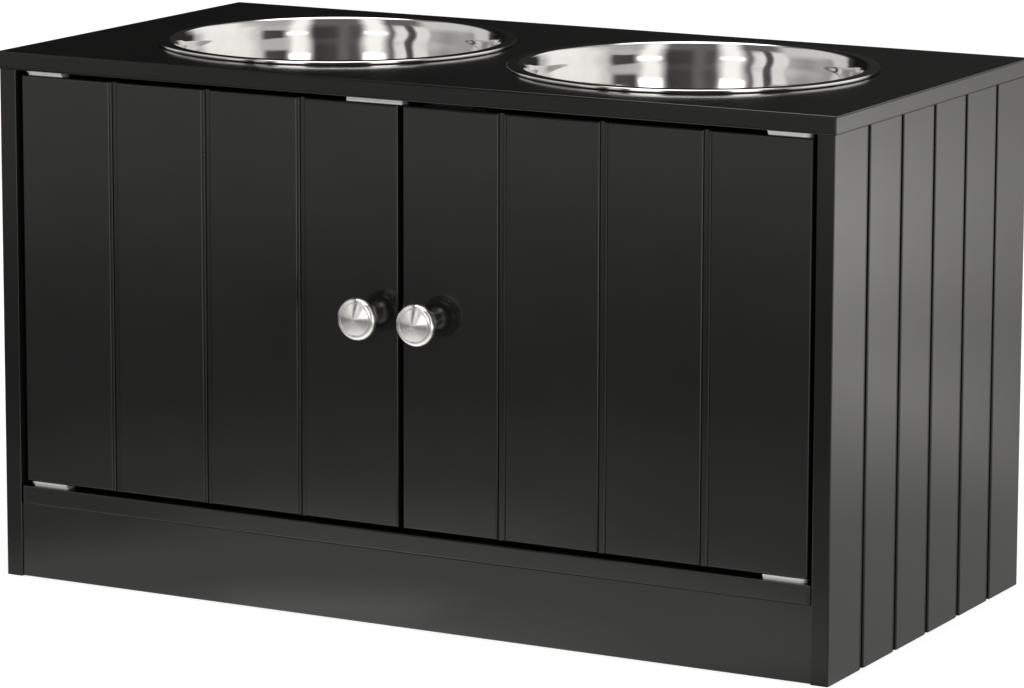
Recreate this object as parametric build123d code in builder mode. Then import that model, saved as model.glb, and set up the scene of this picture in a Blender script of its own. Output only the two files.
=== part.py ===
from build123d import *
import os
from math import hypot, radians, tan

# Raised dog feeder: a two-door storage cabinet whose top board holds two steel bowls.
# Millimetres, +Z up, doors towards -Y. The origin is on the floor, in the middle of the
# footprint, which runs from the knobs' faces to the top board's rear edge.

# ---------------------------------------------------------------- driving sizes

# Top board
top_width = 600.0
top_depth = 300.0
feeder_height = 350.0           # floor to the top board's upper face
top_thickness = 12.0
top_overhang = 1.0              # past the cabinet on all four sides
top_arris = 1.5

# Side panels, shelf, plinth and back panel
side_thickness = 12.0
side_plank_count = 6
side_arris = 1.0
shelf_thickness = 12.0
shelf_corner = 3.0              # rounded upright front corners
shelf_arris = 0.8
plinth_height = 49.5
plinth_thickness = 12.0
plinth_setback = 1.5
plinth_arris = 0.8
back_thickness = 3.0
back_inset = 6.0                # cabinet's rear edge to the back panel's rear face
back_groove_depth = 4.0
back_clearance = 0.2            # around the back panel, in its grooves and under the top board

# Doors
door_thickness = 12.0
door_setback = 2.0              # behind the side panels' front edges
door_side_gap = 3.4
door_middle_gap = 3.4
door_plank_count = 4
door_front_arris = 1.5
door_rear_arris = 0.8

# Bead-and-groove lines, cut into the doors and the side panels
groove_width = 7.2
groove_depth = 1.6
quirk_width = 0.6               # small V beside the bead
quirk_depth = 0.7
bead_width = 2.0
bead_drop = 0.15                # bead's crest below the face
bead_foot_depth = 0.9           # where the bead's arc meets its upright foot
bead_foot_run = 0.1             # lean of that foot
shoulder_radius = 1.2           # round-over on the side away from the bead

# Bowls
bowl_spacing = 262.6            # between the two bowls' axes
bowl_rim_radius = 119.0
bowl_hole_clearance = 0.8       # wall of the hole to the bowl's underside
bowl_rim_height = 2.4           # rim's crest above the top board
bowl_rim_gap = 0.2              # rim's turned-down edge above the top board
bowl_rim_roll = 1.2
bowl_flat_width = 8.1           # level band of the rim, inside its edge
bowl_flare_width = 2.4          # sloped band between the level band and the wall
bowl_flare_drop = 4.3
bowl_flare_radius = 3.0
bowl_depth = 62.0               # top board's upper face to the bowl's floor
bowl_wall_slope = 12.0          # degrees off upright
bowl_floor_radius = 24.0        # curve between wall and floor
bowl_sheet = 0.9

# Knobs, turned about an axis square to the door
knob_offset = 19.5              # axis to the door's free edge
knob_height = 200.2             # axis above the floor
knob_length = 23.0              # out of the door's face
knob_radius = 13.5
knob_face_rise = 2.5            # the face's shallow cone
knob_ring_radius = 10.2         # middle of the thin turned line on the face
knob_ring_width = 0.5
knob_ring_depth = 0.5
knob_band_drop = 2.9            # convex outer band, face edge to its widest line
knob_band_height = 1.4
knob_step_radius = 12.0         # turned steps behind the band
knob_step_height = 1.5
knob_cup_radius = 10.2
knob_cup_height = 2.0
knob_neck_radius = 4.8
knob_neck_height = 7.0          # narrowest place, out of the door's face
knob_foot_radius = 6.0
knob_foot_height = 1.2
knob_thread_depth = 11.0

# Knob screws, put in from inside the cabinet
knob_screw_radius = 2.0
knob_screw_hole_radius = 2.2
knob_screw_engagement = 9.0
knob_screw_head_radius = 4.0
knob_screw_head_height = 2.5
knob_screw_crown_radius = 2.6   # level top of the head, inside its rounded edge
knob_screw_edge_height = 1.2
knob_screw_slot_width = 1.2
knob_screw_slot_length = 4.6
knob_screw_slot_depth = 1.4

# Pivot hinges: two flat leaves, one over the other, turning on a double-countersunk rivet
leaf_thickness = 1.4
leaf_gap = 0.2
leaf_length = 24.0              # pin axis to the leaf's square end
upper_leaf_width = 10.0
lower_leaf_width = 8.0
pin_inset = 10.0                # pin axis to the side panel's inner face
pin_radius = 2.0
pin_head_radius = 3.0
pin_tight_fit = 0.02            # in the leaf that carries the pin
pin_running_fit = 0.05          # in the leaf that turns on it
pin_end_gap = 0.1               # pin's free end inside its leaf
leaf_screw_inset = 5.0          # from the leaf's square end
leaf_screw_pitch = 9.0

# Countersunk wood screws of the hinges and catches
screw_head_radius = 2.3
screw_shank_radius = 1.1
screw_length = 9.5
screw_point = 1.6
screw_fit = 0.05
screw_head_angle = 90.0         # of its countersunk cone
screw_hole_spare = 0.5          # hole's end past the screw's point

# Catch of the left door: two flat steel plates, one on the door's top edge, one above it
strip_length = 40.4
strip_overrun = 2.3             # past the door's free edge, over the middle gap
strip_depth = 9.0
strip_thickness = 1.4
strip_corner = 1.0
strip_screw_inset = 10.0

# Catch of the right door: a magnet in a housing under the top board, a plate behind the door
catch_inset = 28.3              # middle of the catch to the door's free edge
catch_magnet_drop = 8.5         # magnet's middle below the top board
catch_body_length = 30.0
catch_body_depth = 13.0
catch_body_height = 13.0
catch_ear_length = 8.0
catch_ear_thickness = 2.6
catch_ear_depth = 10.0
catch_corner = 1.5
catch_pocket_depth = 9.0
magnet_length = 22.0
magnet_depth = 8.0
magnet_height = 4.0
pole_thickness = 1.2
pole_projection = 0.6           # pole plates' tips in front of the housing
pole_fit = 0.05
plate_gap = 0.3                 # pole tips to the closed door's plate
plate_length = 34.0
plate_height = 10.0
plate_thickness = 1.2
plate_corner = 2.0

# Cam locks that pull the top board and the shelf to the side panels
cam_inset = 40.0                # from the cabinet's front and rear edges
cam_reach = 24.0                # joint to the cam's axis
cam_radius = 7.4
cam_height = 8.8
cam_fit = 0.1
cam_bore_depth = 9.2
cam_jaw_width = 3.9
cam_pocket_gap = 0.3            # around the bolt's head
cam_slot_width = 1.6
cam_slot_length = 8.0
cam_slot_depth = 1.5
bolt_thread_radius = 2.5
bolt_thread_length = 8.0
bolt_shank_radius = 3.1
bolt_neck_radius = 1.7
bolt_neck_length = 6.6
bolt_head_radius = 3.1
bolt_head_length = 2.8
bolt_hole_radius = 3.5
bolt_fit = 0.05
bolt_hole_spare = 0.5           # hole's end past the thread

# Wooden dowels that line the joints up
dowel_radius = 3.0
dowel_length = 24.0
dowel_reach = 8.0               # into the top board or the side panel
dowel_end_gap = 0.5
dowel_fit = 0.05
dowel_spacing = 32.0            # from the neighbouring cam, towards the middle
plinth_dowel_pitch = 24.0

# ---------------------------------------------------------------- places worked out from them

cabinet_width = top_width - 2 * top_overhang
cabinet_depth = top_depth - 2 * top_overhang
inner_half_width = cabinet_width / 2 - side_thickness
side_middle_x = inner_half_width + side_thickness / 2
under_top = feeder_height - top_thickness

knob_reach = knob_length - door_setback - top_overhang
top_front = (knob_reach - top_depth) / 2
top_middle_y = top_front + top_depth / 2
cabinet_front = top_front + top_overhang
cabinet_rear = cabinet_front + cabinet_depth

shelf_under = plinth_height
shelf_top = shelf_under + shelf_thickness
shelf_middle_z = shelf_under + shelf_thickness / 2
plinth_middle_y = cabinet_front + plinth_setback + plinth_thickness / 2

door_end_gap = 2 * leaf_thickness + leaf_gap
door_bottom = shelf_top + door_end_gap
door_top = under_top - door_end_gap
door_height = door_top - door_bottom
door_front = cabinet_front + door_setback
door_back = door_front + door_thickness
door_middle_y = door_front + door_thickness / 2
door_free_edge = door_middle_gap / 2
door_outer_edge = inner_half_width - door_side_gap
door_width = door_outer_edge - door_free_edge

pin_x = inner_half_width - pin_inset
bowl_x = bowl_spacing / 2
bowl_y = top_middle_y
knob_x = door_free_edge + knob_offset

back_middle_y = cabinet_rear - back_inset - back_thickness / 2
back_groove_width = back_thickness + 2 * back_clearance

cam_ys = (cabinet_front + cam_inset, cabinet_rear - cam_inset)
dowel_ys = (cam_ys[0] + dowel_spacing, cam_ys[1] - dowel_spacing)

# Section of a bowl, as (radius, height above the top board)
bowl_level_radius = bowl_rim_radius - bowl_flat_width
bowl_wall_top_radius = bowl_level_radius - bowl_flare_width
bowl_wall_top = bowl_rim_height - bowl_flare_drop
bowl_wall_height = bowl_wall_top + bowl_depth
bowl_wall_foot_radius = bowl_wall_top_radius - bowl_wall_height * tan(radians(bowl_wall_slope))
bowl_flare_length = hypot(bowl_flare_width, bowl_flare_drop)
bowl_flare_run = bowl_flare_width / bowl_flare_drop
bowl_neck_radius = (
    bowl_level_radius
    - bowl_rim_height * bowl_flare_run
    + bowl_sheet * bowl_flare_length / bowl_flare_drop
)
bowl_hole_radius = bowl_neck_radius + bowl_hole_clearance

LEFT, RIGHT = -1, 1
SIDES = (LEFT, RIGHT)
UP, DOWN, FRONT, REAR = (0, 0, 1), (0, 0, -1), (0, -1, 0), (0, 1, 0)
FROM_BASE = (Align.CENTER, Align.CENTER, Align.MIN)
FROM_TOP = (Align.CENTER, Align.CENTER, Align.MAX)


def outward(side):
    return (side, 0, 0)


def inward(side):
    return (-side, 0, 0)


def place(x, y, z, z_dir, x_dir=None):
    """Where a fastener sits; its own z axis is z_dir."""
    return Location(Plane(origin=(x, y, z), x_dir=x_dir, z_dir=z_dir))


def save(piece, name):
    piece.part.label = name
    export_step(piece.part, f"parts/{name}.step")


os.makedirs("parts", exist_ok=True)

# ---------------------------------------------------------------- where fasteners sit

# On a joint, z runs from the board with the cam into the board that takes the thread
top_bolt_places = [
    place(side * side_middle_x, y, under_top, UP) for side in SIDES for y in cam_ys
]
shelf_bolt_places = [
    place(side * inner_half_width, y, shelf_middle_z, outward(side))
    for side in SIDES
    for y in cam_ys
]
top_dowel_places = [
    place(side * side_middle_x, y, under_top, UP) for side in SIDES for y in dowel_ys
]
shelf_dowel_places = [
    place(side * inner_half_width, y, shelf_middle_z, outward(side))
    for side in SIDES
    for y in dowel_ys
]
plinth_dowel_places = [
    place(side * inner_half_width, plinth_middle_y, plinth_height / 2 + dz, outward(side))
    for side in SIDES
    for dz in (-plinth_dowel_pitch / 2, plinth_dowel_pitch / 2)
]

# A cam's face looks out of its bore along z, and its jaws open along x
top_cam_places = [
    place(side * inner_half_width, y, under_top - cam_reach, inward(side), UP)
    for side in SIDES
    for y in cam_ys
]
shelf_cam_places = [
    place(side * (inner_half_width - cam_reach), y, shelf_under, DOWN, outward(side))
    for side in SIDES
    for y in cam_ys
]

# A screw's head looks out along z
leaf_screw_reach = leaf_length - leaf_screw_inset
leaf_screw_reaches = (leaf_screw_reach - leaf_screw_pitch, leaf_screw_reach)


def leaf_screws(side, seat_z, z_dir):
    """The two screws of a hinge leaf that lies on seat_z, with its outer face along z_dir."""
    head_z = seat_z + z_dir[2] * leaf_thickness
    return [
        place(side * (pin_x - reach), door_middle_y, head_z, z_dir)
        for reach in leaf_screw_reaches
    ]


def door_leaf_screws(side):
    return leaf_screws(side, door_top, UP) + leaf_screws(side, door_bottom, DOWN)


top_leaf_screws = leaf_screws(LEFT, under_top, DOWN) + leaf_screws(RIGHT, under_top, DOWN)
shelf_leaf_screws = leaf_screws(LEFT, shelf_top, UP) + leaf_screws(RIGHT, shelf_top, UP)

strip_end_x = strip_overrun - door_free_edge
strip_middle_x = strip_end_x - strip_length / 2
strip_screw_xs = (
    strip_end_x - strip_length + strip_screw_inset,
    -door_free_edge - strip_screw_inset,
)
upper_strip_screws = [
    place(x, door_middle_y, under_top - strip_thickness, DOWN) for x in strip_screw_xs
]
lower_strip_screws = [
    place(x, door_middle_y, door_top + strip_thickness, UP) for x in strip_screw_xs
]

catch_x = door_free_edge + catch_inset
catch_magnet_z = under_top - catch_magnet_drop
plate_face = door_back + plate_thickness
pole_front = plate_face + plate_gap
catch_front = pole_front + pole_projection
catch_middle_y = catch_front + catch_body_depth / 2
catch_ear_x = catch_body_length / 2 + catch_ear_length / 2
catch_screw_places = [
    place(catch_x + side * catch_ear_x, catch_middle_y, under_top - catch_ear_thickness, DOWN)
    for side in SIDES
]
plate_screw_place = place(catch_x, plate_face, catch_magnet_z, REAR)


def knob_screw_place(side):
    return place(side * knob_x, door_back, knob_height, REAR)


# ---------------------------------------------------------------- fasteners, each drawn once


def turned(outline):
    """A solid turned about Z from its half section, given as (radius, height) points."""
    with BuildPart() as piece:
        with BuildSketch(Plane.XZ):
            with BuildLine():
                Polyline(*outline, close=True)
            make_face()
        revolve(axis=Axis.Z)
    return piece.part


def group(fastener, places):
    """Separate copies of one fastener."""
    with BuildPart() as copies:
        with Locations(*places):
            add(fastener)
    return copies


screw_cone_height = (screw_head_radius - screw_shank_radius) / tan(radians(screw_head_angle / 2))
screw = turned(
    [
        (0, 0),
        (screw_head_radius, 0),
        (screw_shank_radius, -screw_cone_height),
        (screw_shank_radius, screw_point - screw_length),
        (0, -screw_length),
    ]
)
screw_head_hole_radius = screw_head_radius + screw_fit
screw_hole_radius = screw_shank_radius + screw_fit
screw_hole_depth = screw_length + screw_hole_spare

# The bolt's thread stands on the joint, and its head hangs at the cam's axis
bolt_head_top = bolt_head_length / 2 - cam_reach
bolt_neck_top = bolt_head_top + bolt_neck_length
cam_bolt = turned(
    [
        (0, bolt_thread_length),
        (bolt_thread_radius, bolt_thread_length),
        (bolt_thread_radius, 0),
        (bolt_shank_radius, 0),
        (bolt_shank_radius, bolt_neck_top),
        (bolt_neck_radius, bolt_neck_top),
        (bolt_neck_radius, bolt_head_top),
        (bolt_head_radius, bolt_head_top),
        (bolt_head_radius, bolt_head_top - bolt_head_length),
        (0, bolt_head_top - bolt_head_length),
    ]
)
bolt_thread_hole_radius = bolt_thread_radius + bolt_fit
bolt_thread_hole_depth = bolt_thread_length + bolt_hole_spare

# The dowel's short end stands in the board that takes the bolt's thread
dowel_hole_reach = dowel_reach + dowel_end_gap
dowel_hole_length = dowel_length - dowel_reach + dowel_end_gap
dowel_hole_radius = dowel_radius + dowel_fit
dowel = turned(
    [
        (0, dowel_reach),
        (dowel_radius, dowel_reach),
        (dowel_radius, dowel_reach - dowel_length),
        (0, dowel_reach - dowel_length),
    ]
)


def cam(board_thickness):
    """A cam with its face at z = 0 that grips a bolt halfway through the board, along x."""
    bolt_z = -board_thickness / 2
    pocket_radius = bolt_head_radius + cam_pocket_gap
    pocket_length = bolt_head_length + 2 * cam_pocket_gap
    with BuildPart() as piece:
        Cylinder(cam_radius, cam_height, align=FROM_TOP)
        with BuildSketch(Plane.XY.offset(-cam_height)):
            with Locations((cam_radius / 2, 0)):
                Rectangle(cam_radius, cam_jaw_width)
        extrude(amount=cam_height + bolt_z + cam_jaw_width / 2, mode=Mode.SUBTRACT)
        with BuildSketch(Plane.XY.offset(-cam_height)):
            Rectangle(pocket_length, 2 * pocket_radius)
        extrude(amount=cam_height + bolt_z + pocket_radius, mode=Mode.SUBTRACT)
        with BuildSketch(Plane.XY):
            Rectangle(cam_slot_length, cam_slot_width)
        extrude(amount=-cam_slot_depth, mode=Mode.SUBTRACT)
    return piece.part


# ---------------------------------------------------------------- boarding

# Groove section: x across the boards with the bead on the low side, y into the material
groove_edge = groove_width / 2
quirk_x = quirk_width - groove_edge
bead_foot_x = quirk_x + bead_width
shoulder_x = groove_edge - shoulder_radius

with BuildSketch() as groove:
    with BuildLine():
        Polyline(
            (shoulder_x, shoulder_radius),
            (shoulder_x, groove_depth),
            (bead_foot_x + bead_foot_run, groove_depth),
            (bead_foot_x, bead_foot_depth),
        )
        ThreePointArc(
            (bead_foot_x, bead_foot_depth),
            (quirk_x + bead_width / 2, bead_drop),
            (quirk_x, quirk_depth),
        )
        Polyline(
            (quirk_x, quirk_depth),
            (-groove_edge, 0),
            (-groove_edge, -groove_depth),
            (groove_edge, -groove_depth),
            (groove_edge, 0),
        )
        RadiusArc((groove_edge, 0), (shoulder_x, shoulder_radius), shoulder_radius)
    make_face()

# ---------------------------------------------------------------- boards

with BuildPart() as top_board:
    with BuildSketch(Plane.XY.offset(under_top)):
        with Locations((0, top_middle_y)):
            Rectangle(top_width, top_depth)
    extrude(amount=top_thickness)
    fillet(top_board.edges(), top_arris)
    with BuildSketch(Plane.XY.offset(under_top)):
        with Locations((-bowl_x, bowl_y), (bowl_x, bowl_y)):
            Circle(bowl_hole_radius)
    extrude(amount=top_thickness, mode=Mode.SUBTRACT)
    with Locations(*top_bolt_places):
        Hole(bolt_thread_hole_radius, bolt_thread_hole_depth)
    with Locations(*top_dowel_places):
        Hole(dowel_hole_radius, dowel_hole_reach)
    with Locations(*top_leaf_screws, *upper_strip_screws, *catch_screw_places):
        Hole(screw_hole_radius, screw_hole_depth)
save(top_board, "top_board")

side_plank_pitch = cabinet_depth / side_plank_count
side_groove_places = [
    Location((inner_half_width + side_thickness, cabinet_front + side_plank_pitch * plank), 90)
    for plank in range(1, side_plank_count)
]

with BuildPart() as right_side_panel:
    with BuildSketch(Plane.XY):
        with Locations((side_middle_x, top_middle_y)):
            Rectangle(side_thickness, cabinet_depth)
    extrude(amount=under_top)
    fillet(right_side_panel.edges().filter_by(Axis.Z), side_arris)
    with BuildSketch(Plane.XY):
        with Locations(*side_groove_places):
            add(groove.sketch)
        with Locations((inner_half_width + back_groove_depth / 2, back_middle_y)):
            Rectangle(back_groove_depth, back_groove_width)
    extrude(amount=under_top, mode=Mode.SUBTRACT)
    with Locations(*top_bolt_places[2:]):
        Hole(bolt_hole_radius, cam_reach)
    with Locations(*top_cam_places[2:]):
        Hole(cam_radius + cam_fit, cam_bore_depth)
    with Locations(*top_dowel_places[2:]):
        Hole(dowel_hole_radius, dowel_hole_length)
    with Locations(*shelf_bolt_places[2:]):
        Hole(bolt_thread_hole_radius, bolt_thread_hole_depth)
    with Locations(*shelf_dowel_places[2:], *plinth_dowel_places[2:]):
        Hole(dowel_hole_radius, dowel_hole_reach)
save(right_side_panel, "right_side_panel")

with BuildPart() as left_side_panel:
    mirror(right_side_panel.part, about=Plane.YZ)
save(left_side_panel, "left_side_panel")

with BuildPart() as bottom_shelf:
    with BuildSketch(Plane.XY.offset(shelf_under)):
        with Locations((0, top_middle_y)):
            Rectangle(2 * inner_half_width, cabinet_depth)
    extrude(amount=shelf_thickness)
    fillet(bottom_shelf.edges().filter_by(Axis.Z).group_by(Axis.Y)[0], shelf_corner)
    fillet(bottom_shelf.faces().sort_by(Axis.Y)[0].edges().filter_by(Axis.X), shelf_arris)
    with BuildSketch(Plane.XY.offset(shelf_top)):
        with Locations((0, back_middle_y)):
            Rectangle(2 * inner_half_width, back_groove_width)
    extrude(amount=-back_groove_depth, mode=Mode.SUBTRACT)
    with Locations(*shelf_bolt_places):
        Hole(bolt_hole_radius, cam_reach)
    with Locations(*shelf_cam_places):
        Hole(cam_radius + cam_fit, cam_bore_depth)
    with Locations(*shelf_dowel_places):
        Hole(dowel_hole_radius, dowel_hole_length)
    with Locations(*shelf_leaf_screws):
        Hole(screw_hole_radius, screw_hole_depth)
save(bottom_shelf, "bottom_shelf")

with BuildPart() as front_plinth:
    with BuildSketch(Plane.XY):
        with Locations((0, plinth_middle_y)):
            Rectangle(2 * inner_half_width, plinth_thickness)
    extrude(amount=plinth_height)
    fillet(front_plinth.faces().sort_by(Axis.Y)[0].edges().filter_by(Axis.X), plinth_arris)
    with Locations(*plinth_dowel_places):
        Hole(dowel_hole_radius, dowel_hole_length)
save(front_plinth, "front_plinth")

with BuildPart() as back_panel:
    with BuildSketch(Plane.XY.offset(shelf_top - back_groove_depth + back_clearance)):
        with Locations((0, back_middle_y)):
            Rectangle(2 * (inner_half_width + back_groove_depth - back_clearance), back_thickness)
    extrude(amount=under_top - shelf_top + back_groove_depth - 2 * back_clearance)
save(back_panel, "back_panel")

save(group(cam(side_thickness), top_cam_places), "top_cam_locks")
save(group(cam_bolt, top_bolt_places), "top_cam_bolts")
save(group(cam(shelf_thickness), shelf_cam_places), "shelf_cam_locks")
save(group(cam_bolt, shelf_bolt_places), "shelf_cam_bolts")
save(group(dowel, top_dowel_places), "top_dowels")
save(group(dowel, shelf_dowel_places), "shelf_dowels")
save(group(dowel, plinth_dowel_places), "plinth_dowels")

# ---------------------------------------------------------------- doors

door_plank_pitch = door_width / door_plank_count
door_groove_spots = [
    (-door_outer_edge + door_plank_pitch * plank, door_front)
    for plank in range(1, door_plank_count)
]

# The left door before the holes of its own catch
with BuildPart() as door_blank:
    with BuildSketch(Plane.XY.offset(door_bottom)):
        with Locations((-door_free_edge - door_width / 2, door_middle_y)):
            Rectangle(door_width, door_thickness)
    extrude(amount=door_height)
    fillet(door_blank.faces().sort_by(Axis.Y)[0].edges(), door_front_arris)
    fillet(door_blank.faces().sort_by(Axis.Y)[-1].edges(), door_rear_arris)
    with BuildSketch(Plane.XY.offset(door_bottom)):
        with Locations(*door_groove_spots):
            add(groove.sketch)
    extrude(amount=door_height, mode=Mode.SUBTRACT)
    with Locations(*door_leaf_screws(LEFT)):
        Hole(screw_hole_radius, screw_hole_depth)
    with Locations(knob_screw_place(LEFT)):
        Hole(knob_screw_hole_radius, door_thickness)

with BuildPart() as left_door:
    add(door_blank.part)
    with Locations(*lower_strip_screws):
        Hole(screw_hole_radius, screw_hole_depth)
save(left_door, "left_door")

with BuildPart() as right_door:
    mirror(door_blank.part, about=Plane.YZ)
    with Locations(plate_screw_place):
        Hole(screw_hole_radius, screw_hole_depth)
save(right_door, "right_door")

# ---------------------------------------------------------------- hinges


def hinge_leaf(side, seat_z, z_dir, width, pin_fit):
    """A leaf seated at seat_z with its outer face along z_dir, reaching in from the pin."""
    seat = Plane(origin=(side * pin_x, door_middle_y, seat_z), x_dir=inward(side), z_dir=z_dir)
    with BuildPart() as leaf:
        with BuildSketch(seat):
            Circle(width / 2)
            with Locations((leaf_length / 2, 0)):
                Rectangle(leaf_length, width)
        extrude(amount=leaf_thickness)
        with Locations(seat):
            Cylinder(pin_radius + pin_fit, leaf_thickness, align=FROM_BASE, mode=Mode.SUBTRACT)
            Cone(
                pin_head_radius + pin_fit,
                pin_radius + pin_fit,
                pin_head_radius - pin_radius,
                align=FROM_BASE,
                mode=Mode.SUBTRACT,
            )
        with Locations(*leaf_screws(side, seat_z, z_dir)):
            CounterSinkHole(
                screw_hole_radius, screw_head_hole_radius, counter_sink_angle=screw_head_angle
            )
    return leaf


# The pin is tight in the upper leaf, from whose seat it hangs, and turns in the lower leaf
pin_length = door_end_gap - pin_end_gap
pin_head_height = pin_head_radius - pin_radius
hinge_pin = turned(
    [
        (0, 0),
        (pin_head_radius, 0),
        (pin_radius, -pin_head_height),
        (pin_radius, pin_head_height - door_end_gap),
        (pin_head_radius - pin_end_gap, -pin_length),
        (0, -pin_length),
    ]
)

for side, name in ((LEFT, "left"), (RIGHT, "right")):
    save(
        hinge_leaf(side, under_top, DOWN, upper_leaf_width, pin_tight_fit),
        f"{name}_top_hinge_cabinet_leaf",
    )
    save(
        hinge_leaf(side, door_top, UP, lower_leaf_width, pin_running_fit),
        f"{name}_top_hinge_door_leaf",
    )
    save(
        hinge_leaf(side, door_bottom, DOWN, upper_leaf_width, pin_tight_fit),
        f"{name}_bottom_hinge_door_leaf",
    )
    save(
        hinge_leaf(side, shelf_top, UP, lower_leaf_width, pin_running_fit),
        f"{name}_bottom_hinge_cabinet_leaf",
    )
    save(
        group(hinge_pin, [(side * pin_x, door_middle_y, door_bottom)]),
        f"{name}_bottom_hinge_pin",
    )
    save(group(screw, door_leaf_screws(side)), f"{name}_door_leaf_screws")

save(
    group(hinge_pin, [(side * pin_x, door_middle_y, under_top) for side in SIDES]),
    "top_hinge_pins",
)
save(group(screw, top_leaf_screws + shelf_leaf_screws), "cabinet_leaf_screws")

# ---------------------------------------------------------------- left door's catch


def catch_strip(seat_z, z_dir, screws):
    """A flat plate over the left door's free end, seated at seat_z."""
    with BuildPart() as strip:
        with BuildSketch(Plane(origin=(0, 0, seat_z), x_dir=(1, 0, 0), z_dir=z_dir)) as outline:
            with Locations((strip_middle_x, z_dir[2] * door_middle_y)):
                Rectangle(strip_length, strip_depth)
            fillet(outline.vertices(), strip_corner)
        extrude(amount=strip_thickness)
        with Locations(*screws):
            CounterSinkHole(
                screw_hole_radius, screw_head_hole_radius, counter_sink_angle=screw_head_angle
            )
    return strip


save(catch_strip(under_top, DOWN, upper_strip_screws), "left_catch_plate")
save(group(screw, upper_strip_screws), "left_catch_plate_screws")
save(catch_strip(door_top, UP, lower_strip_screws), "left_strike_plate")
save(group(screw, lower_strip_screws), "left_strike_plate_screws")

# ---------------------------------------------------------------- right door's catch

pole_height = magnet_height / 2 + pole_thickness
pole_length = catch_pocket_depth + pole_projection

with BuildPart() as right_catch_housing:
    with BuildSketch(Plane.XY.offset(under_top)) as catch_outline:
        with Locations((catch_x, catch_middle_y)):
            Rectangle(catch_body_length, catch_body_depth)
        fillet(catch_outline.vertices(), catch_corner)
    extrude(amount=-catch_body_height)
    with BuildSketch(Plane.XY.offset(under_top)) as ear_outline:
        with Locations((catch_x, catch_middle_y)):
            Rectangle(catch_body_length + 2 * catch_ear_length, catch_ear_depth)
        fillet(ear_outline.vertices(), catch_corner)
    extrude(amount=-catch_ear_thickness)
    with BuildSketch(Plane.XZ.offset(-catch_front)):
        with Locations((catch_x, catch_magnet_z)):
            Rectangle(magnet_length + 2 * pole_fit, 2 * (pole_height + pole_fit))
    extrude(amount=-catch_pocket_depth, mode=Mode.SUBTRACT)
    with Locations(*catch_screw_places):
        CounterSinkHole(
            screw_hole_radius, screw_head_hole_radius, counter_sink_angle=screw_head_angle
        )
save(right_catch_housing, "right_catch_housing")

with BuildPart() as right_catch_magnet:
    with BuildSketch(Plane.XZ.offset(-catch_front - catch_pocket_depth)):
        with Locations((catch_x, catch_magnet_z)):
            Rectangle(magnet_length, magnet_height)
    extrude(amount=magnet_depth)
save(right_catch_magnet, "right_catch_magnet")

with BuildPart() as right_catch_pole_plates:
    with BuildSketch(Plane.XZ.offset(-catch_front - catch_pocket_depth)):
        for side in SIDES:
            with Locations((catch_x, catch_magnet_z + side * (pole_height - pole_thickness / 2))):
                Rectangle(magnet_length, pole_thickness)
    extrude(amount=pole_length)
save(right_catch_pole_plates, "right_catch_pole_plates")
save(group(screw, catch_screw_places), "right_catch_screws")

with BuildPart() as right_strike_plate:
    with BuildSketch(Plane.XZ.offset(-door_back)) as plate_outline:
        with Locations((catch_x, catch_magnet_z)):
            Rectangle(plate_length, plate_height)
        fillet(plate_outline.vertices(), plate_corner)
    extrude(amount=-plate_thickness)
    with Locations(plate_screw_place):
        CounterSinkHole(
            screw_hole_radius, screw_head_hole_radius, counter_sink_angle=screw_head_angle
        )
save(right_strike_plate, "right_strike_plate")
save(group(screw, [plate_screw_place]), "right_strike_plate_screw")

# ---------------------------------------------------------------- knobs

knob_face_edge = knob_length - knob_face_rise
knob_face_radius = knob_radius - knob_band_drop
knob_band_top = knob_face_edge - knob_band_drop
knob_band_foot = knob_band_top - knob_band_height
knob_step_foot = knob_band_foot - knob_step_height
knob_cup_foot = knob_step_foot - knob_cup_height
knob_ring_inner = knob_ring_radius - knob_ring_width / 2
knob_ring_outer = knob_ring_radius + knob_ring_width / 2
knob_ring_floor = knob_face_edge - knob_ring_depth
knob_bore_radius = knob_screw_radius + screw_fit

# Half section of a knob: x is the radius, y the distance out of the door's face
with BuildSketch() as knob_section:
    with BuildLine():
        Polyline(
            (knob_bore_radius, 0),
            (knob_bore_radius, knob_thread_depth),
            (0, knob_thread_depth),
            (0, knob_length),
            (knob_ring_inner, knob_face_edge),
            (knob_ring_inner, knob_ring_floor),
            (knob_ring_outer, knob_ring_floor),
            (knob_ring_outer, knob_face_edge),
            (knob_face_radius, knob_face_edge),
        )
        RadiusArc((knob_face_radius, knob_face_edge), (knob_radius, knob_band_top), knob_band_drop)
        Polyline(
            (knob_radius, knob_band_top),
            (knob_radius, knob_band_foot),
            (knob_step_radius, knob_band_foot),
            (knob_step_radius, knob_step_foot),
            (knob_cup_radius, knob_step_foot),
            (knob_cup_radius, knob_cup_foot),
        )
        TangentArc(
            (knob_neck_radius, knob_neck_height), (knob_cup_radius, knob_cup_foot), tangent=(0, 1)
        )
        TangentArc(
            (knob_neck_radius, knob_neck_height), (knob_foot_radius, knob_foot_height), tangent=(0, -1)
        )
        Polyline(
            (knob_foot_radius, knob_foot_height),
            (knob_foot_radius, 0),
            (knob_bore_radius, 0),
        )
    make_face()

# Pan-head screw with a cross slot, its head's underside at z = 0
with BuildPart() as knob_screw:
    add(
        turned(
            [
                (0, knob_screw_head_height),
                (knob_screw_crown_radius, knob_screw_head_height),
                (knob_screw_head_radius, knob_screw_edge_height),
                (knob_screw_head_radius, 0),
                (knob_screw_radius, 0),
                (knob_screw_radius, -door_thickness - knob_screw_engagement),
                (0, -door_thickness - knob_screw_engagement),
            ]
        )
    )
    with BuildSketch(Plane.XY.offset(knob_screw_head_height)):
        Rectangle(knob_screw_slot_length, knob_screw_slot_width)
        Rectangle(knob_screw_slot_width, knob_screw_slot_length)
    extrude(amount=-knob_screw_slot_depth, mode=Mode.SUBTRACT)

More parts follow.
